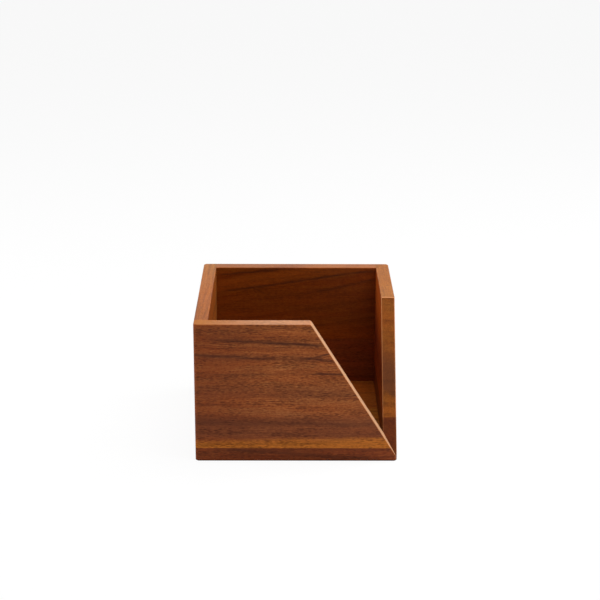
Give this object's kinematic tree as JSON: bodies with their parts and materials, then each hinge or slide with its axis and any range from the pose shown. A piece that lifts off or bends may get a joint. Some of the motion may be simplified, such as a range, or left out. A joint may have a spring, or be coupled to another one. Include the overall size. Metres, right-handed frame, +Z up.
{
  "type": "napkin holder",
  "caption": "Open-topped square wooden box for a stack of folded napkins, with a base set in grooves and one corner cut away by two slanting cuts for pinching a napkin out.",
  "frame": {"origin": "centre of the square footprint, on the surface that the holder stands on", "axes": "+Z up out of the open top, -Y towards the front wall, +X towards the right wall; the corner at +X -Y is the one cut away"},
  "size_m": [0.152, 0.152, 0.109],
  "materials": {
    "brown_wood": "oiled acacia heartwood, satin",
    "red_wood": "oiled dark reddish acacia heartwood, satin",
    "golden_wood": "oiled golden acacia, satin",
    "dowel_wood": "bare pale beech, matt"
  },
  "bodies": {
    "root": {"front_lower_stave": "red_wood", "front_upper_stave": "brown_wood", "right_lower_stave": "red_wood", "right_upper_stave": "golden_wood", "back_lower_stave": "red_wood", "back_upper_stave": "brown_wood", "left_lower_stave": "golden_wood", "left_upper_stave": "brown_wood", "base_front_stave": "golden_wood", "base_back_stave": "brown_wood", "corner_dowels": "dowel_wood"}
  },
  "joints": []
}
